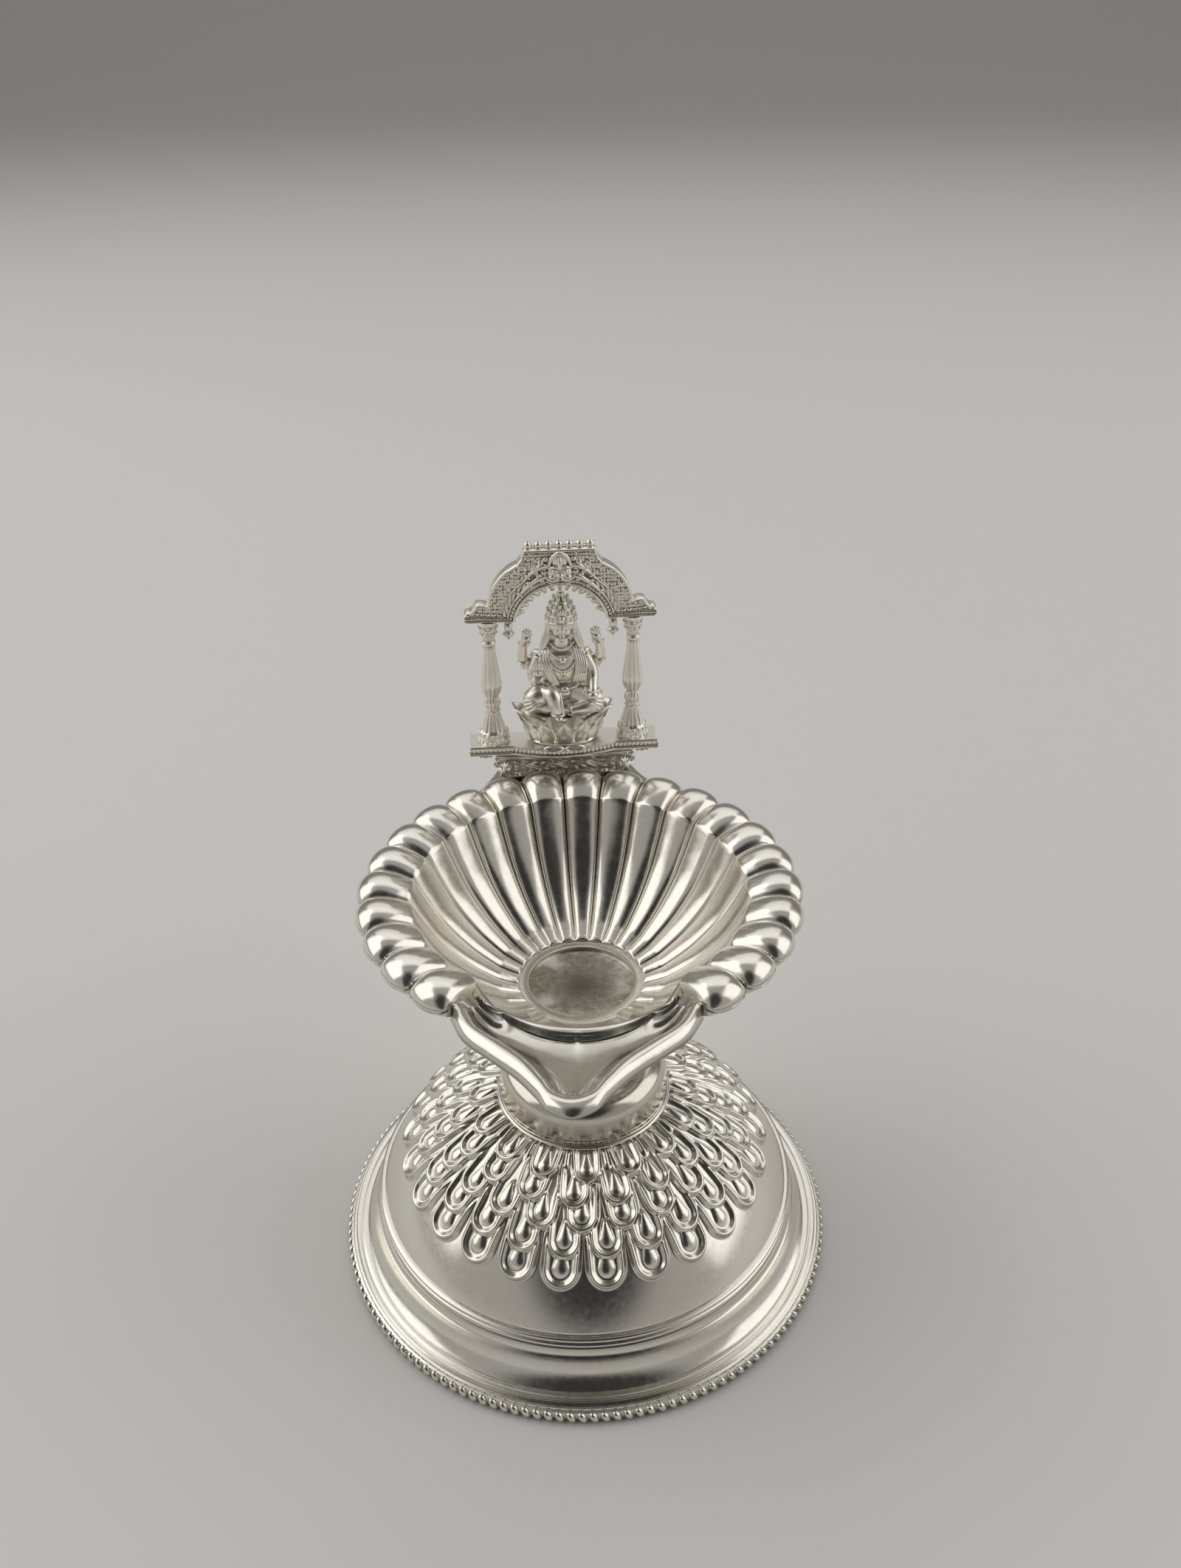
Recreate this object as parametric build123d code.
from build123d import *
import os
from math import asin, atan, cos, degrees, hypot, radians, sin, sqrt

# A silver oil lamp for worship: a domed stand, a fluted bowl with a pouring spout that screws
# on to it, and a small shrine with a seated figure behind the bowl. Millimetres, +Z up, with
# the lamp's axis on Z, the foot standing on z = 0 and the spout along -Y.

# Sheet and clearances
SHEET = 0.8                  # wall of every spun or pressed shell
THREAD_CLEARANCE = 0.05      # radial gap between the stud and its bush
SEAM_GAP = 0.15              # gap where the bracket comes up to the ridged bowl

# Foot
FOOT_EDGE_RADIUS = 44.0      # plain edge, inside the gadrooned border
FOOT_EDGE_HEIGHT = 2.4
FOOT_RIM_WIDTH = 1.5         # flat ring that stands on the table
FOOT_LIP_WIDTH = 0.6         # plain lip between the border and the step
FOOT_STEP_RISE = 0.6
FOOT_BAND_WIDTH = 2.4        # stepped band between the lip and the cove
FOOT_HEIGHT = 10.0           # top of the cove
COVE_HOLLOW = 0.9            # how far the cove sinks in from a straight slope
FLANGE_WIDTH = 4.0           # flange inside the cove that carries the dome

# Gadrooned border of the foot
BORDER_WIDTH = 1.3
BORDER_HEIGHT = 2.0
BORDER_LIFT = 0.2
BORDER_BEADS = 148

# Dome and the reeded moulding round its lower edge
DOME_EDGE_RADIUS = 37.2
DOME_BULGE = 2.6             # rise of the dome's arc over its chord
DOME_TOP_HEIGHT = 31.6
DOME_SEAT_MARGIN = 0.3       # flat left showing round the collar
DOME_HOLE_RADIUS = 12.5
REED_RADIUS = 0.55
REED_COUNT = 2

# Scales embossed on the dome, in rows from the collar down: count, radius of the tips as a share of
# the dome's edge radius, half width as a share of the pitch, angle of one scale
SCALE_ROWS = [
    (16, 0.559, 0.330, -87.6),
    (19, 0.651, 0.356, -93.6),
    (23, 0.731, 0.397, -90.1),
    (25, 0.812, 0.402, -81.6),
    (26, 0.895, 0.416, -82.6),
]
SCALE_TIP_RISE = 0.8         # a scale's tip over the dome
SCALE_END_RISE = 0.1         # its upper end over the dome
SCALE_THICKNESS = 0.84

# Collar between the dome and the bowl
COLLAR_RADIUS = 15.1
COLLAR_WAIST = 14.75         # radius where the shoulder begins
COLLAR_SHOULDER_HEIGHT = 36.6
COLLAR_SHOULDER_BULGE = 1.0
COLLAR_TOP_RADIUS = 11.4
COLLAR_TOP_HEIGHT = 40.2
COLLAR_WIRE_RADIUS = 0.45    # thin wire round the collar's foot

# Screw that holds the bowl on the stand
STUD_RADIUS = 4.0
STUD_SOCKET = 5.0            # length of the stud held in the stem
STUD_BELOW = 8.6             # length of the stud below the stem
HOLE_MARGIN = 0.6            # radial room round the stud in the collar and the ring
BUSH_WALL = 2.2
BUSH_FLANGE_WIDTH = 2.8
BUSH_FLANGE = 1.2
BUSH_LENGTH = 8.0

# Beaded ring clamped between the collar and the stem
RING_RADIUS = 10.0
RING_THICKNESS = 1.5
RING_BEAD_RADIUS = 0.7
RING_BEADS = 42

# Stem under the bowl
STEM_FOOT_RADIUS = 8.8
STEM_FOOT_HEIGHT = 1.2
STEM_WAIST_BULGE = 2.4       # how far the waist draws in
STEM_TOP_RADIUS = 11.2
STEM_TOP_HEIGHT = 1.2
STEM_LENGTH = 12.7

# Well in the floor of the bowl
WELL_RADIUS = 8.9
DISH_MARGIN = 1.9            # how far the dish runs out under the well ring
DISH_THICKNESS = 1.4
DISH_DEPTH = 0.6

# Fluted bowl: each station is the crest of a flute as (share of the way from the flutes' foot to
# the lobes' tips, share of the edge's height, slope of the sheet in degrees, depth of the groove)
LOBES = 28                   # lobes in a full turn
SPOUT_LOBES = 5              # lobes whose place the spout takes
FLUTE_FOOT_RADIUS = 11.2
FLUTE_STATIONS = [
    (0.055, 0.045, 33, 0.5),
    (0.135, 0.12, 36, 0.9),
    (0.295, 0.305, 43, 1.3),
    (0.445, 0.54, 54, 1.6),
    (0.555, 0.80, 62, 1.8),
    (0.625, 0.99, 60, 2.0),
    (0.705, 1.115, 28, 2.2),
    (0.825, 1.15, 0, 2.4),
    (0.935, 1.105, -35, 2.2),
]
FLUTE_FOOT_DEPTH = 0.15
BOWL_RADIUS = 36.4           # tips of the lobes
BOWL_EDGE_HEIGHT = 18.8      # edge of the lobes over the well ring
LOBE_NOTCH = 1.8             # depth of the notch between two tips

# Spout: each station is one line across the sheet, from the well outward, as (share of the reach at
# the middle, share of the edge's height there, share of the bowl's radius at the seam, share of the
# edge's height there, half width of the round tip, how far the tip's ends stand back)
SPOUT_REACH = 49.6           # axis to the outside of the spout's roll
SPOUT_STATIONS = [
    (0.089, 0.106, 0.143, 0.128, 4.0, 0.55),
    (0.188, 0.245, 0.306, 0.287, 5.0, 0.70),
    (0.281, 0.404, 0.437, 0.489, 6.0, 0.85),
    (0.370, 0.585, 0.532, 0.681, 6.9, 1.00),
    (0.417, 0.638, 0.587, 0.755, 7.2, 1.20),
    (0.469, 0.633, 0.603, 0.771, 7.0, 1.50),
    (0.581, 0.649, 0.619, 0.798, 5.8, 2.10),
    (0.724, 0.702, 0.631, 0.840, 4.4, 2.30),
    (0.844, 0.787, 0.647, 0.883, 2.9, 1.90),
    (0.870, 0.862, 0.667, 0.936, 2.8, 1.90),
    (0.893, 0.941, 0.698, 1.005, 3.0, 1.90),
    (0.922, 0.984, 0.730, 1.048, 3.4, 1.95),
    (0.953, 0.995, 0.770, 1.058, 3.8, 2.00),
    (0.982, 0.963, 0.806, 1.027, 4.2, 2.05),
    (1.000, 0.894, 0.829, 0.968, 4.4, 2.10),
    (0.969, 0.809, 0.786, 0.883, 4.0, 2.00),
]
SPOUT_FOOT_TIP = 0.25        # half width of the foot's round tip, as a share of its radius
SPOUT_TIP_EASE = 0.12        # how far the tip's ends rise toward the seam's height

# Bracket behind the bowl, and the turn of the shrine about the lamp's axis
SHRINE_TURN = 5.0
BRACKET_THICKNESS = 1.2
BRACKET_DROP = 1.0           # top of the bracket below the lobes' edge
BRACKET_ARM_ANGLE = 25.0     # half angle of the arms that hug the bowl
BRACKET_OVERHANG = 2.1       # how far the arms reach past the lobes
BRACKET_REACH_IN = 6.3       # how far the bracket runs in under the lobes, up to the flutes' ridges

# Plinth, platform and pillars of the shrine
PLINTH_GAP = 1.2             # between the lobes' tips and the plinth
PLINTH_BOTTOM_HALF = 10.6
PLINTH_TOP_HALF = 12.9
PLINTH_HEIGHT = 5.3
PLINTH_DEPTH = 5.2
PLINTH_BOSS_RADIUS = 1.3
PLATFORM_HALF = 17.4
PLATFORM_DEPTH = 5.8
PLATFORM_THICKNESS = 1.8
PLATFORM_BULGE = 2.0         # the middle of the front edge stands forward by this
PLATFORM_BULGE_HALF = 9.5
PILLAR_SPACING = 25.8
PILLAR_HEIGHT = 24.4
# Turned outline of a pillar, as (share of its height, radius)
PILLAR_OUTLINE = [
    (0.00, 2.75), (0.09, 2.65), (0.12, 2.35), (0.26, 1.35), (0.30, 1.30), (0.335, 1.60),
    (0.375, 1.30), (0.40, 1.35), (0.47, 2.05), (0.56, 1.80), (0.80, 1.05), (0.83, 1.30),
    (0.86, 1.10), (0.93, 1.45), (1.00, 1.75),
]

# Arch over the pillars
ARCH_THICKNESS = 3.0
CORNICE_HALF = 17.0
CORNICE_HEIGHT = 1.6
CORNICE_STEP_HALF = 15.2
CORNICE_STEP_HEIGHT = 3.2
ARCH_FOOT_HALF = 13.4        # where the curved back springs from the cornice
ARCH_OPENING_HALF = 8.0
ARCH_OPENING_RISE = 6.6
ARCH_SHOULDER_HALF = 7.5
ARCH_SHOULDER_HEIGHT = 10.4
ARCH_SHOULDER_BULGE = 1.2
ARCH_TOP_HALF = 6.1
ARCH_TOP_HEIGHT = 13.2
FRINGE_TEETH = 11
FRINGE_RADIUS = 0.45
MASK_RADIUS = 2.2
MASK_HEIGHT = 9.6            # middle of the mask over the arch's foot
FINIALS = 7
FINIAL_RADIUS = 0.72
FINIAL_HEIGHT = 1.6
# Turned outlines of a finial and a pendant, as (share of the height, share of the radius)
FINIAL_OUTLINE = [(0.0, 0.7), (0.15, 0.9), (0.35, 1.0), (0.55, 0.85), (0.65, 0.6)]
PENDANT_OUTLINE = [(1.0, 0.9), (0.45, 0.75), (0.3, 1.0), (0.08, 0.4)]
PENDANT_LENGTH = 3.9
PENDANT_RADIUS = 1.0
PENDANT_SPACING = 18.6

# Lotus seat and figure, both flattened from front to back
LOTUS_FOOT_HALF = 5.4
LOTUS_CUP_HALF = 7.6
LOTUS_HEIGHT = 6.6           # top of the cup over the platform
LOTUS_TIP_HALF = 10.3
LOTUS_TIP_HEIGHT = 8.4
LOTUS_FLATNESS = 0.55
LOTUS_PETALS = 14
PETAL_HALF_WIDTH = 2.0
PETAL_THICKNESS = 0.7
PETAL_SPREAD = 1.3           # above 1 the petals curl outward toward the tip
# Sections of a petal, as (share of the height, share of the width)
PETAL_STATIONS = [(0.0, 0.6), (0.45, 1.0), (0.8, 0.6), (1.0, 0.08)]
FIGURE_FLATNESS = 0.62
KNEE_HALF = 8.5
LAP_HEIGHT = 4.4             # top of the lap over the lotus
WAIST_HALF = 3.5
CHEST_HALF = 4.7
SHOULDER_HEIGHT = 11.0       # over the lotus
HEAD_RADIUS = 2.5
HEAD_HEIGHT = 15.2           # middle of the head over the lotus
CROWN_RADIUS = 2.6
CROWN_HEIGHT = 22.8          # tip of the crown over the lotus
ARM_RADIUS = 1.0
HAND_HALF = 6.0              # raised hands, to each side
HAND_HEIGHT = 15.2
BUD_RADIUS = 1.3
SHOULDER_SHARE = 0.85        # shoulders, as a share of the chest's half width and of their height
ELBOW_SHARE = 0.72           # raised elbows, as a share of the shoulders' height
FRONT_HAND_SHARE = 0.8       # lowered hands, as a share of the chest's half width
FRONT_HAND_REACH = 2.6
LEFT_HAND_RISE = 1.6         # the lowered hands over the lap
RIGHT_HAND_RISE = 0.2
CROWN_FOOT = 0.4             # foot of the crown above the head's middle, as a share of its radius
CROWN_SHOULDER = 0.8         # where the crown narrows, as a share of its rise over the head
CROWN_SHOULDER_SHARE = 0.68
CROWN_TIP_SHARE = 0.25
CHEST_SHARE = 0.8            # where the chest is widest, as a share of the shoulders' height
# The lowered leg's knee and foot, as shares of the knees' half width and of the lap's depth
KNEE_SHARE = (0.35, 0.4)
FOOT_SHARE = (0.2, 0.75)
KNEE_RISE = 0.6              # the knee's height, as a share of the lap's

# Heights that follow from the sizes above
STEP_TOP = FOOT_EDGE_HEIGHT + FOOT_STEP_RISE
DOME_EDGE_HEIGHT = FOOT_HEIGHT + 2 * REED_COUNT * REED_RADIUS
RING_TOP = COLLAR_TOP_HEIGHT + RING_THICKNESS
STEM_TOP = RING_TOP + STEM_LENGTH
DISH_TOP = STEM_TOP + DISH_THICKNESS
WELL_TOP = DISH_TOP + SHEET
BOWL_EDGE = WELL_TOP + BOWL_EDGE_HEIGHT
BRACKET_TOP = BOWL_EDGE - BRACKET_DROP
PLATFORM_BOTTOM = BRACKET_TOP + PLINTH_HEIGHT
PLATFORM_TOP = PLATFORM_BOTTOM + PLATFORM_THICKNESS
ARCH_BOTTOM = PLATFORM_TOP + PILLAR_HEIGHT
LOTUS_TOP = PLATFORM_TOP + LOTUS_HEIGHT
SHRINE_DEPTH = BOWL_RADIUS + PLINTH_GAP + PLINTH_DEPTH / 2    # from the lamp's axis
LOBE_PITCH = 360 / LOBES
SEAM_ANGLE = SPOUT_LOBES * LOBE_PITCH / 2    # from the middle of the spout to each seam


def polar(radius, angle, height):
    return Vector(radius * cos(radians(angle)), radius * sin(radians(angle)), height)


def closed(*lines):
    """Face inside a closed outline of lines and arcs."""
    return make_face([edge for line in lines for edge in line.edges()])


def turned(*lines):
    """Solid of revolution about Z from an outline drawn as (radius, height)."""
    return revolve(Plane.XZ * closed(*lines), Axis.Z)


def ring_of(inner, outer, bottom, top):
    """Flat ring about Z."""
    low, high = (inner, bottom), (inner, top)
    return turned(Polyline(low, (outer, bottom), (outer, top), high, low))


def foot_ring():
    """Spun foot: standing rim, stepped band, hollow cove and the flange under the dome."""
    lip = FOOT_EDGE_RADIUS - FOOT_LIP_WIDTH
    cove_foot = lip - FOOT_BAND_WIDTH
    cove_top = DOME_EDGE_RADIUS + 2 * REED_RADIUS
    flange = DOME_EDGE_RADIUS - FLANGE_WIDTH
    rim = FOOT_EDGE_RADIUS - FOOT_RIM_WIDTH
    outer_foot = (cove_foot, STEP_TOP)
    outer_top = (cove_top, FOOT_HEIGHT)
    inner_top = (cove_top - SHEET, FOOT_HEIGHT - SHEET)
    inner_foot = (cove_foot - SHEET, STEP_TOP - SHEET)
    return turned(
        Polyline((rim, 0), (FOOT_EDGE_RADIUS, 0), (FOOT_EDGE_RADIUS, FOOT_EDGE_HEIGHT),
                 (lip, FOOT_EDGE_HEIGHT), (lip, STEP_TOP), outer_foot),
        SagittaArc(outer_foot, outer_top, COVE_HOLLOW),
        Polyline(outer_top, (flange, FOOT_HEIGHT), (flange, FOOT_HEIGHT - SHEET), inner_top),
        SagittaArc(inner_top, inner_foot, -COVE_HOLLOW),
        Polyline(inner_foot, (rim, STEP_TOP - SHEET), (rim, 0)),
    )


def foot_border():
    """Gadrooned wire round the foot's edge: a ring whose outside is a row of small bulges."""
    pitch = 360 / BORDER_BEADS
    valley = FOOT_EDGE_RADIUS + BORDER_WIDTH / 2
    crest = FOOT_EDGE_RADIUS + BORDER_WIDTH
    bulges = []
    for bead in range(BORDER_BEADS):
        start, end = polar(valley, bead * pitch, 0), polar(valley, (bead + 1) * pitch, 0)
        bulges.append(ThreePointArc(start, polar(crest, (bead + 0.5) * pitch, 0), end))
    outline = closed(*bulges) - Circle(FOOT_EDGE_RADIUS)
    return Pos(0, 0, BORDER_LIFT) * extrude(outline, BORDER_HEIGHT)


def dome_moulding():
    """Reeded wire round the dome's lower edge: round reeds, one on the other."""
    root = DOME_EDGE_RADIUS + REED_RADIUS
    edges = [Polyline((root, FOOT_HEIGHT), (DOME_EDGE_RADIUS, FOOT_HEIGHT),
                      (DOME_EDGE_RADIUS, DOME_EDGE_HEIGHT), (root, DOME_EDGE_HEIGHT))]
    for reed in range(REED_COUNT):
        low = FOOT_HEIGHT + 2 * reed * REED_RADIUS
        middle, high = low + REED_RADIUS, low + 2 * REED_RADIUS
        edges.append(ThreePointArc((root, low), (root + REED_RADIUS, middle), (root, high)))
    return turned(*edges)


def dome_scales(radius, middle):
    """Discs on the dome's sphere, tilted so that each tip stands out over the row below."""
    scales = []
    for count, tip_share, width_share, turn in SCALE_ROWS:
        pitch = 360 / count
        tip = tip_share * DOME_EDGE_RADIUS
        half = width_share * tip * radians(pitch)
        lean = degrees(atan((SCALE_TIP_RISE - SCALE_END_RISE) / (2 * half)))
        slope = degrees(asin(tip / radius) - half / radius)
        rise = (SCALE_TIP_RISE + SCALE_END_RISE) / 2 - half ** 2 / (2 * radius)
        disc = Pos(0, 0, rise - SCALE_THICKNESS / 2) * Cylinder(half, SCALE_THICKNESS)
        place = Pos(0, 0, middle) * Rot(0, slope, 0) * Pos(0, 0, radius) * Rot(0, -lean, 0)
        scales += [Rot(0, 0, turn + index * pitch) * place * disc for index in range(count)]
    return scales


def base_dome():
    """Domed shell embossed with scales, with a straight skirt and a flat seat for the collar."""
    seat = COLLAR_RADIUS + DOME_SEAT_MARGIN
    skirt = DOME_EDGE_RADIUS - SHEET
    outer_low = (DOME_EDGE_RADIUS, DOME_EDGE_HEIGHT)
    outer_high = (seat, DOME_TOP_HEIGHT)
    inner_high = (seat - SHEET, DOME_TOP_HEIGHT - SHEET)
    inner_low = (skirt, DOME_EDGE_HEIGHT)
    shell = turned(
        Polyline((skirt, FOOT_HEIGHT), (DOME_EDGE_RADIUS, FOOT_HEIGHT), outer_low),
        SagittaArc(outer_low, outer_high, -DOME_BULGE),
        Polyline(outer_high, (DOME_HOLE_RADIUS, DOME_TOP_HEIGHT),
                 (DOME_HOLE_RADIUS, DOME_TOP_HEIGHT - SHEET), inner_high),
        SagittaArc(inner_high, inner_low, DOME_BULGE),
        Line(inner_low, (skirt, FOOT_HEIGHT)),
    )
    half_chord = hypot(DOME_EDGE_RADIUS - seat, DOME_TOP_HEIGHT - DOME_EDGE_HEIGHT) / 2
    radius = (half_chord ** 2 + DOME_BULGE ** 2) / (2 * DOME_BULGE)
    middle = DOME_EDGE_HEIGHT - sqrt(radius ** 2 - DOME_EDGE_RADIUS ** 2)
    return shell.fuse(*dome_scales(radius, middle))


def collar():
    """Hollow drum with a rounded shoulder, open below and pierced above for the stud."""
    hole = STUD_RADIUS + HOLE_MARGIN
    outer_low = (COLLAR_RADIUS, DOME_TOP_HEIGHT)
    outer_waist = (COLLAR_WAIST, COLLAR_SHOULDER_HEIGHT)
    outer_top = (COLLAR_TOP_RADIUS, COLLAR_TOP_HEIGHT)
    inner_top = (COLLAR_TOP_RADIUS - SHEET, COLLAR_TOP_HEIGHT - SHEET)
    inner_waist = (COLLAR_WAIST - SHEET, COLLAR_SHOULDER_HEIGHT)
    inner_low = (COLLAR_RADIUS - SHEET, DOME_TOP_HEIGHT)
    return turned(
        Polyline(inner_low, outer_low, outer_waist),
        SagittaArc(outer_waist, outer_top, -COLLAR_SHOULDER_BULGE),
        Polyline(outer_top, (hole, COLLAR_TOP_HEIGHT), (hole, COLLAR_TOP_HEIGHT - SHEET), inner_top),
        SagittaArc(inner_top, inner_waist, COLLAR_SHOULDER_BULGE),
        Line(inner_waist, inner_low),
    )


def neck_bush():
    """Threaded bush soldered under the collar's top, drawn with a plain bore."""
    bore = STUD_RADIUS + THREAD_CLEARANCE
    outside = bore + BUSH_WALL
    flange = outside + BUSH_FLANGE_WIDTH
    top = COLLAR_TOP_HEIGHT - SHEET
    bottom, step = top - BUSH_LENGTH, top - BUSH_FLANGE
    return turned(Polyline((bore, top), (flange, top), (flange, step), (outside, step),
                           (outside, bottom), (bore, bottom), (bore, top)))


def collar_wire():
    """Thin half-round wire at the collar's foot, on the flat seat of the dome."""
    outside = COLLAR_RADIUS
    bottom = (outside, DOME_TOP_HEIGHT)
    top_height = DOME_TOP_HEIGHT + 2 * COLLAR_WIRE_RADIUS
    slope = (COLLAR_RADIUS - COLLAR_WAIST) / (COLLAR_SHOULDER_HEIGHT - DOME_TOP_HEIGHT)
    top = (outside - slope * 2 * COLLAR_WIRE_RADIUS, top_height)
    return turned(Line(top, bottom), SagittaArc(bottom, top, -COLLAR_WIRE_RADIUS))


def beaded_ring():
    """Washer with a row of beads round its edge, clamped between the collar and the stem."""
    middle = (COLLAR_TOP_HEIGHT + RING_TOP) / 2
    ring = ring_of(STUD_RADIUS + HOLE_MARGIN, RING_RADIUS, COLLAR_TOP_HEIGHT, RING_TOP)
    beads = [Pos(polar(RING_RADIUS, bead * 360 / RING_BEADS, middle)) * Sphere(RING_BEAD_RADIUS)
             for bead in range(RING_BEADS)]
    return ring.fuse(*beads)


def bowl_stem():
    """Turned stem under the bowl, with a socket for the stud."""
    foot_high = (STEM_FOOT_RADIUS, RING_TOP + STEM_FOOT_HEIGHT)
    head_low = (STEM_TOP_RADIUS, STEM_TOP - STEM_TOP_HEIGHT)
    socket_top = RING_TOP + STUD_SOCKET
    return turned(
        Polyline((STUD_RADIUS, RING_TOP), (STEM_FOOT_RADIUS, RING_TOP), foot_high),
        SagittaArc(foot_high, head_low, STEM_WAIST_BULGE),
        Polyline(head_low, (STEM_TOP_RADIUS, STEM_TOP), (0, STEM_TOP), (0, socket_top),
                 (STUD_RADIUS, socket_top), (STUD_RADIUS, RING_TOP)),
    )


def screw_stud():
    """Threaded stud fixed in the stem, drawn as its plain outside."""
    bottom = RING_TOP - STUD_BELOW
    return Pos(0, 0, bottom) * Cylinder(
        STUD_RADIUS, STUD_BELOW + STUD_SOCKET, align=(Align.CENTER, Align.CENTER, Align.MIN))


def well_dish():
    """Disc with a shallow spherical hollow that closes the middle of the floor."""
    disc = ring_of(0, WELL_RADIUS + DISH_MARGIN, STEM_TOP, DISH_TOP)
    hollow = (WELL_RADIUS ** 2 + DISH_DEPTH ** 2) / (2 * DISH_DEPTH)
    return disc - Pos(0, 0, DISH_TOP - DISH_DEPTH + hollow) * Sphere(hollow)


def well_ring():
    """Flat ring round the well, on which the flutes and the spout stand."""
    return ring_of(WELL_RADIUS, FLUTE_FOOT_RADIUS + SHEET, DISH_TOP, WELL_TOP)


def flute_wire(station, under):
    """Closed line round the bowl through one station, on the sheet's upper or under side."""
    radius, height, slope, depth = station
    out, down = sin(radians(slope)), -cos(radians(slope))
    crest = (radius + under * out, WELL_TOP + height + under * down)
    groove = (radius + (under + depth) * out, WELL_TOP + height + (under + depth) * down)
    arcs = []
    for lobe in range(LOBES):
        angle = 90 + lobe * LOBE_PITCH
        arcs.append(ThreePointArc(
            polar(groove[0], angle - LOBE_PITCH / 2, groove[1]),
            polar(crest[0], angle, crest[1]),
            polar(groove[0], angle + LOBE_PITCH / 2, groove[1])))
    return Wire(arcs)


def bowl_shell():
    """Pressed bowl of rounded flutes that turn over into the lobes of the rim, open at the spout."""
    width = BOWL_RADIUS - FLUTE_FOOT_RADIUS
    stations = [(FLUTE_FOOT_RADIUS, 0, 90, FLUTE_FOOT_DEPTH)]
    for share, rise, slope, depth in FLUTE_STATIONS:
        stations.append((FLUTE_FOOT_RADIUS + share * width, rise * BOWL_EDGE_HEIGHT, slope, depth))
    stations.append((BOWL_RADIUS, BOWL_EDGE_HEIGHT, -90, LOBE_NOTCH))
    upper = [flute_wire(station, 0) for station in stations]
    under = [flute_wire(station, SHEET) for station in stations]
    skins = [Shell.make_loft(upper), Shell.make_loft(under)]
    edges = [Shell.make_loft([upper[end], under[end]], True) for end in (0, -1)]
    full = Solid(Shell([face for shell in skins + edges for face in shell.faces()]))
    far = 3 * BOWL_RADIUS
    opening = closed(Polyline((0, 0), polar(far, -90 - SEAM_ANGLE, 0), polar(far, -90, 0),
                              polar(far, -90 + SEAM_ANGLE, 0), (0, 0)))
    return full - Pos(0, 0, WELL_TOP - BOWL_EDGE_HEIGHT) * extrude(opening, 3 * BOWL_EDGE_HEIGHT)


def spout_lines():
    """Stations of the spout from the well outward, with real heights, and the sheet's under side."""
    foot = FLUTE_FOOT_RADIUS
    foot_tip = SPOUT_FOOT_TIP * foot
    foot_drop = foot - (foot ** 2 - foot_tip ** 2) ** 0.5
    upper = [(foot, WELL_TOP, foot, WELL_TOP, foot_tip, foot_drop)]
    for reach, rise, seam, seam_rise, tip, drop in SPOUT_STATIONS:
        upper.append((foot + reach * (SPOUT_REACH - foot), WELL_TOP + rise * BOWL_EDGE_HEIGHT,
                      foot + seam * (BOWL_RADIUS - foot), WELL_TOP + seam_rise * BOWL_EDGE_HEIGHT,
                      tip, drop))
    under = []
    last = len(upper) - 1
    for index, (r, h, s, k, t, d) in enumerate(upper):
        before, after = upper[max(index - 1, 0)], upper[min(index + 1, last)]
        run, rise = after[0] - before[0], after[1] - before[1]
        seam_run, seam_rise = after[2] - before[2], after[3] - before[3]
        length, seam_length = hypot(run, rise), hypot(seam_run, seam_rise)
        if index == 0:
            run, rise, length = 0, 1, 1
            seam_run, seam_rise, seam_length = 0, 1, 1
        shift = SHEET * rise / length
        under.append((r + shift, h - SHEET * run / length, s + SHEET * seam_rise / seam_length,
                      k - SHEET * seam_run / seam_length, t + shift / 2, d))
    return upper, under


def spout_wire(line):
    """One line across the spout: straight from each seam to a round tip in the middle."""
    reach, height, seam, seam_height, tip, drop = line
    tip_height = height + SPOUT_TIP_EASE * (seam_height - height)
    left_seam, right_seam = (polar(seam, -90 + side * SEAM_ANGLE, seam_height) for side in (-1, 1))
    left, right = (Vector(side * tip, drop - reach, tip_height) for side in (-1, 1))
    round_tip = ThreePointArc(left, Vector(0, -reach, height), right)
    return Wire([Line(left_seam, left), round_tip, Line(right, right_seam)])


def spout():
    """Pressed spout: front wall of the bowl, channel, and a fat roll round the edge."""
    upper, under = ([spout_wire(line) for line in lines] for lines in spout_lines())
    faces = []
    for wires in (upper, under):
        faces += Shell.make_loft(wires, True).faces()
    for end in (0, -1):
        faces += Shell.make_loft([upper[end], under[end]], True).faces()
    for side in (-1, 1):
        seam = Plane(origin=(0, 0, 0), z_dir=polar(1, side * SEAM_ANGLE, 0))
        borders = [edge for face in faces for edge in face.edges() if lies_on(edge, seam)]
        faces.append(make_face(borders))
    return Solid(Shell(faces))


def lies_on(edge, plane):
    """Whether the whole edge lies in the plane."""
    samples = [edge @ share for share in (0, 0.3, 0.7, 1)]
    return all(abs((point - plane.origin).dot(plane.z_dir)) < 1e-4 for point in samples)


def to_shrine(shape):
    """Carries a shape from the shrine's own frame, middle on Y = 0, to its place behind the bowl."""
    return Rot(0, 0, SHRINE_TURN) * Pos(0, SHRINE_DEPTH, 0) * shape


def front_plate(outline, thickness):
    """Plate drawn from the front as (across, up), centred on the shrine's middle plane."""
    return extrude(Plane.XZ * outline, thickness / 2, both=True)


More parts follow.
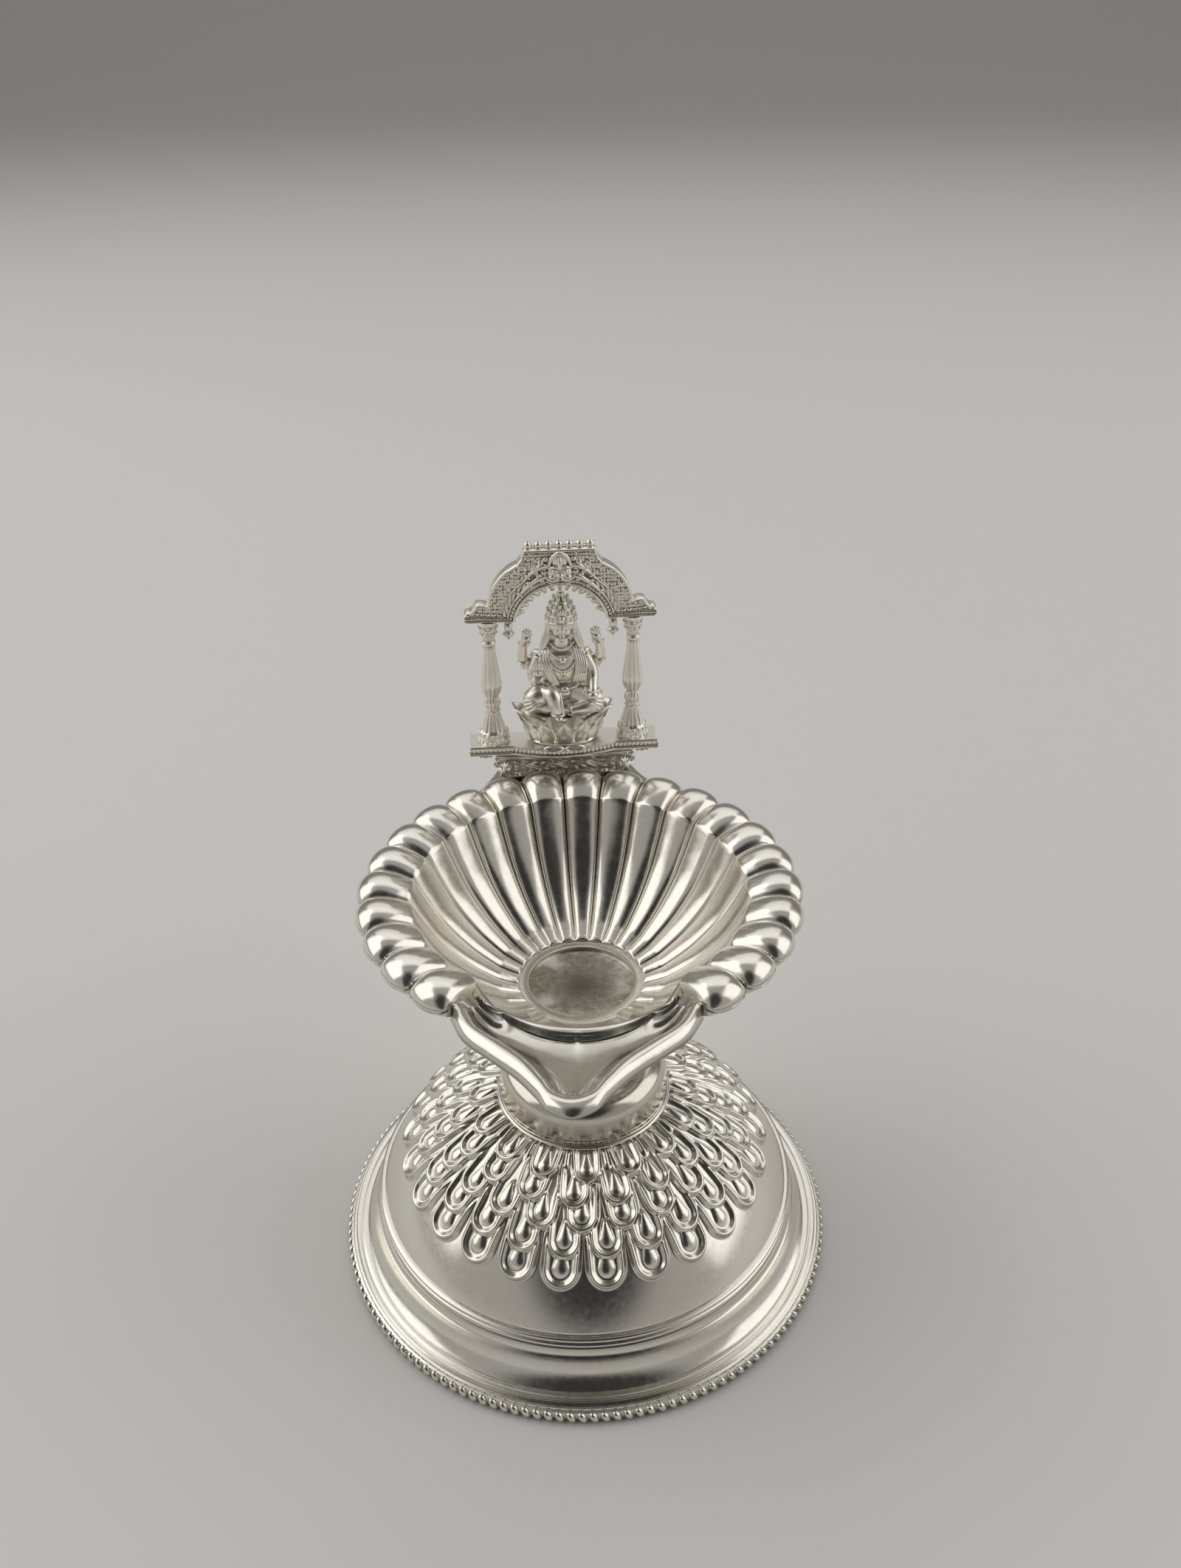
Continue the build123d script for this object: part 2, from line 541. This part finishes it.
def shrine_bracket():
    """Shelf soldered under the back lobes: arms that hug the bowl and a tongue for the plinth."""
    plinth_back = SHRINE_DEPTH + PLINTH_DEPTH / 2
    inner = BOWL_RADIUS - BRACKET_REACH_IN + SEAM_GAP
    outer = BOWL_RADIUS + BRACKET_OVERHANG
    arms = Circle(outer) - Circle(inner)
    reach = 2 * outer
    sector = closed(Polyline((0, 0), polar(reach, 90 - BRACKET_ARM_ANGLE, 0), (0, reach),
                             polar(reach, 90 + BRACKET_ARM_ANGLE, 0), (0, 0)))
    tongue_depth = plinth_back - inner
    tongue = Pos(0, plinth_back - tongue_depth / 2) * Rectangle(2 * PLINTH_BOTTOM_HALF, tongue_depth)
    outline = arms & sector
    outline += tongue - Circle(outer)
    shelf = extrude(outline, -BRACKET_THICKNESS)
    return Rot(0, 0, SHRINE_TURN) * Pos(0, 0, BRACKET_TOP) * shelf


def plinth():
    """Throne base, wider above, with a boss at each upper corner."""
    low_left, low_right = ((side * PLINTH_BOTTOM_HALF, BRACKET_TOP) for side in (-1, 1))
    high_left, high_right = ((side * PLINTH_TOP_HALF, PLATFORM_BOTTOM) for side in (-1, 1))
    outline = closed(Polyline(low_left, low_right, high_right, high_left, low_left))
    body = front_plate(outline, PLINTH_DEPTH)
    middle = (PLINTH_BOTTOM_HALF + PLINTH_TOP_HALF) / 2
    height = (BRACKET_TOP + PLATFORM_BOTTOM) / 2
    for side in (-1, 1):
        body += Pos(side * middle, -PLINTH_DEPTH / 2, height) * Sphere(PLINTH_BOSS_RADIUS)
    return to_shrine(body)


def platform():
    """Floor of the shrine, with a front edge that swells forward under the lotus."""
    half, front, back = PLATFORM_HALF, -PLATFORM_DEPTH / 2, PLATFORM_DEPTH / 2
    swell = PLATFORM_BULGE_HALF
    outline = closed(
        Polyline((swell, front), (half, front), (half, back), (-half, back), (-half, front),
                 (-swell, front)),
        ThreePointArc((-swell, front), (0, front - PLATFORM_BULGE), (swell, front)),
    )
    return to_shrine(Pos(0, 0, PLATFORM_BOTTOM) * extrude(outline, PLATFORM_THICKNESS))


def pillar(side):
    """Turned pillar: beaded foot, bell, ball, swelling shaft and capital."""
    points = [(radius, PLATFORM_TOP + share * PILLAR_HEIGHT) for share, radius in PILLAR_OUTLINE]
    outline = Polyline((0, PLATFORM_TOP), *points, (0, ARCH_BOTTOM), (0, PLATFORM_TOP))
    return to_shrine(Pos(side * PILLAR_SPACING / 2, 0, 0) * turned(outline))


def arch():
    """Cast arch plate: cornice ends, curved shoulders, stepped top and a toothed round opening."""
    low = ARCH_BOTTOM
    right = [
        (ARCH_OPENING_HALF, low), (CORNICE_HALF, low), (CORNICE_HALF, low + CORNICE_HEIGHT),
        (CORNICE_STEP_HALF, low + CORNICE_HEIGHT),
        (CORNICE_STEP_HALF - CORNICE_HEIGHT, low + CORNICE_STEP_HEIGHT),
        (ARCH_FOOT_HALF - CORNICE_HEIGHT / 2, low + CORNICE_STEP_HEIGHT),
    ]
    shoulder = (ARCH_SHOULDER_HALF, low + ARCH_SHOULDER_HEIGHT)
    top = (ARCH_TOP_HALF, low + ARCH_TOP_HEIGHT)
    mirrored = [(-x, z) for x, z in right]
    opening = ThreePointArc(mirrored[0], (0, low + ARCH_OPENING_RISE), right[0])
    outline = closed(
        Polyline(*right),
        SagittaArc(right[-1], shoulder, -ARCH_SHOULDER_BULGE),
        Polyline(shoulder, top, (-top[0], top[1]), (-shoulder[0], shoulder[1])),
        SagittaArc((-shoulder[0], shoulder[1]), mirrored[-1], -ARCH_SHOULDER_BULGE),
        Polyline(*mirrored[::-1]),
        opening,
    )
    for tooth in range(FRINGE_TEETH):
        point = opening @ ((tooth + 1) / (FRINGE_TEETH + 1))
        outline += Pos(point.X, point.Y) * Circle(FRINGE_RADIUS)
    return to_shrine(front_plate(outline, ARCH_THICKNESS))


def arch_mask():
    """Round guardian mask at the middle of the arch, on the plate's front."""
    front = Box(2 * MASK_RADIUS, MASK_RADIUS, 2 * MASK_RADIUS,
                align=(Align.CENTER, Align.MAX, Align.CENTER))
    mask = Sphere(MASK_RADIUS) & front
    return to_shrine(Pos(0, -ARCH_THICKNESS / 2, ARCH_BOTTOM + MASK_HEIGHT) * mask)


def crest():
    """Row of pointed finials along the arch's top."""
    base = ARCH_BOTTOM + ARCH_TOP_HEIGHT
    points = [(share * FINIAL_RADIUS, base + rise * FINIAL_HEIGHT) for rise, share in FINIAL_OUTLINE]
    finial = turned(Polyline((0, base), *points, (0, base + FINIAL_HEIGHT), (0, base)))
    pitch = 2 * (ARCH_TOP_HALF - FINIAL_RADIUS) / (FINIALS - 1)
    start = -pitch * (FINIALS - 1) / 2
    places = [Pos(start + index * pitch, 0, 0) for index in range(FINIALS)]
    return Compound([to_shrine(place * finial) for place in places])


def pendant(side):
    """Turned drop that hangs from the cornice beside a pillar."""
    top, bottom = ARCH_BOTTOM, ARCH_BOTTOM - PENDANT_LENGTH
    points = [(share * PENDANT_RADIUS, bottom + rise * PENDANT_LENGTH)
              for rise, share in PENDANT_OUTLINE]
    outline = Polyline((0, top), *points, (0, bottom), (0, top))
    return to_shrine(Pos(side * PENDANT_SPACING / 2, 0, 0) * turned(outline))


def flattened_ring(half, height, flatness):
    """Elliptical section of a flattened figure, at a height."""
    return Pos(0, 0, height) * Ellipse(half, half * flatness)


def block_below(height, size):
    """Large block whose top is at a height, to cut a foot flat."""
    return Pos(0, 0, height) * Box(size, size, size, align=(Align.CENTER, Align.CENTER, Align.MAX))


def petal(angle):
    """One pointed petal that leans out from the lotus cup."""
    across = LOTUS_FLATNESS
    direction = Vector(cos(radians(angle)), across * sin(radians(angle)), 0)
    tangent = Vector(-sin(radians(angle)), across * cos(radians(angle)), 0).normalized()
    normal = tangent.cross(Vector(0, 0, 1))
    sections = []
    for share, width in PETAL_STATIONS:
        reach = LOTUS_FOOT_HALF + (LOTUS_TIP_HALF - LOTUS_FOOT_HALF) * share ** PETAL_SPREAD
        middle = direction * reach + Vector(0, 0, PLATFORM_TOP + LOTUS_TIP_HEIGHT * share)
        plane = Plane(origin=middle, x_dir=tangent, z_dir=tangent.cross(normal))
        sections.append(plane * Ellipse(PETAL_HALF_WIDTH * width, PETAL_THICKNESS))
    return loft(sections)


def lotus_seat():
    """Lotus: a flattened cup with a ring of pointed petals."""
    cup = loft([flattened_ring(LOTUS_FOOT_HALF, PLATFORM_TOP, LOTUS_FLATNESS),
                flattened_ring(LOTUS_CUP_HALF, LOTUS_TOP, LOTUS_FLATNESS)])
    petals = [petal(index * 360 / LOTUS_PETALS) for index in range(LOTUS_PETALS)]
    return to_shrine(cup.fuse(*petals) - block_below(PLATFORM_TOP, 4 * LOTUS_TIP_HALF))


def limb(start, end, start_radius, end_radius):
    """Round tapered limb with round ends."""
    start, end = Vector(*start), Vector(*end)
    axis = end - start
    shaft = loft([Plane(origin=start, z_dir=axis) * Circle(start_radius),
                  Plane(origin=end, z_dir=axis) * Circle(end_radius)])
    return [shaft, Pos(start) * Sphere(start_radius), Pos(end) * Sphere(end_radius)]


def deity_figure(seat):
    """Seated four-armed figure with a tall crown, simply modelled, cut to sit on the lotus."""
    floor = LOTUS_TOP
    thick = FIGURE_FLATNESS
    shoulders = floor + SHOULDER_HEIGHT
    head_middle = floor + HEAD_HEIGHT
    lap_top = floor + LAP_HEIGHT
    lap = Pos(0, 0, floor) * scale(Sphere(1), by=(KNEE_HALF, KNEE_HALF * thick, LAP_HEIGHT))
    torso = loft([flattened_ring(WAIST_HALF, floor + LAP_HEIGHT / 2, thick),
                  flattened_ring(CHEST_HALF, floor + CHEST_SHARE * SHOULDER_HEIGHT, thick),
                  flattened_ring(SHOULDER_SHARE * CHEST_HALF, shoulders, thick)])
    neck = limb((0, 0, shoulders - ARM_RADIUS), (0, 0, head_middle), 2 * ARM_RADIUS, 1.5 * ARM_RADIUS)
    head = Pos(0, 0, head_middle) * Sphere(HEAD_RADIUS)
    crown_rise = CROWN_HEIGHT - HEAD_HEIGHT
    crown = loft([Pos(0, 0, head_middle + CROWN_FOOT * HEAD_RADIUS) * Circle(CROWN_RADIUS),
                  Pos(0, 0, head_middle + CROWN_SHOULDER * crown_rise)
                  * Circle(CROWN_SHOULDER_SHARE * CROWN_RADIUS),
                  Pos(0, 0, floor + CROWN_HEIGHT) * Circle(CROWN_TIP_SHARE * CROWN_RADIUS)])
    pieces = [torso, head, crown, *neck]
    for side, hand_rise in ((-1, LEFT_HAND_RISE), (1, RIGHT_HAND_RISE)):
        shoulder = (side * SHOULDER_SHARE * CHEST_HALF, 0, floor + SHOULDER_SHARE * SHOULDER_HEIGHT)
        elbow = (side * (HAND_HALF + ARM_RADIUS / 2), 0, floor + ELBOW_SHARE * SHOULDER_HEIGHT)
        hand = (side * HAND_HALF, 0, floor + HAND_HEIGHT)
        pieces += limb(shoulder, elbow, 1.2 * ARM_RADIUS, ARM_RADIUS)
        pieces += limb(elbow, hand, ARM_RADIUS, 0.8 * ARM_RADIUS)
        pieces.append(Pos(hand) * Sphere(BUD_RADIUS))
        front_elbow = (side * CHEST_HALF, -ARM_RADIUS, lap_top + ARM_RADIUS)
        front_hand = (side * FRONT_HAND_SHARE * CHEST_HALF, -FRONT_HAND_REACH, lap_top + hand_rise)
        pieces += limb(shoulder, front_elbow, 1.2 * ARM_RADIUS, ARM_RADIUS)
        pieces += limb(front_elbow, front_hand, ARM_RADIUS, 0.9 * ARM_RADIUS)
    depth = KNEE_HALF * thick
    knee = (-KNEE_SHARE[0] * KNEE_HALF, -KNEE_SHARE[1] * depth, floor + KNEE_RISE * LAP_HEIGHT)
    foot = (-FOOT_SHARE[0] * KNEE_HALF, -FOOT_SHARE[1] * depth, floor + ARM_RADIUS)
    pieces += limb(knee, foot, 1.6 * ARM_RADIUS, ARM_RADIUS)
    whole = lap.fuse(*pieces) - block_below(floor, 4 * KNEE_HALF)
    return to_shrine(whole) - seat


def build():
    lotus = lotus_seat()
    return {
        "foot_ring": foot_ring(),
        "foot_border": foot_border(),
        "dome_moulding": dome_moulding(),
        "base_dome": base_dome(),
        "collar": collar(),
        "collar_wire": collar_wire(),
        "neck_bush": neck_bush(),
        "beaded_ring": beaded_ring(),
        "bowl_stem": bowl_stem(),
        "screw_stud": screw_stud(),
        "well_dish": well_dish(),
        "well_ring": well_ring(),
        "bowl_shell": bowl_shell(),
        "spout": spout(),
        "shrine_bracket": shrine_bracket(),
        "plinth": plinth(),
        "platform": platform(),
        "pillar_left": pillar(-1),
        "pillar_right": pillar(1),
        "arch": arch(),
        "arch_mask": arch_mask(),
        "crest": crest(),
        "pendant_left": pendant(-1),
        "pendant_right": pendant(1),
        "lotus_seat": lotus,
        "deity_figure": deity_figure(lotus),
    }


os.makedirs("parts", exist_ok=True)
for node, shape in build().items():
    export_step(shape, f"parts/{node}.step")
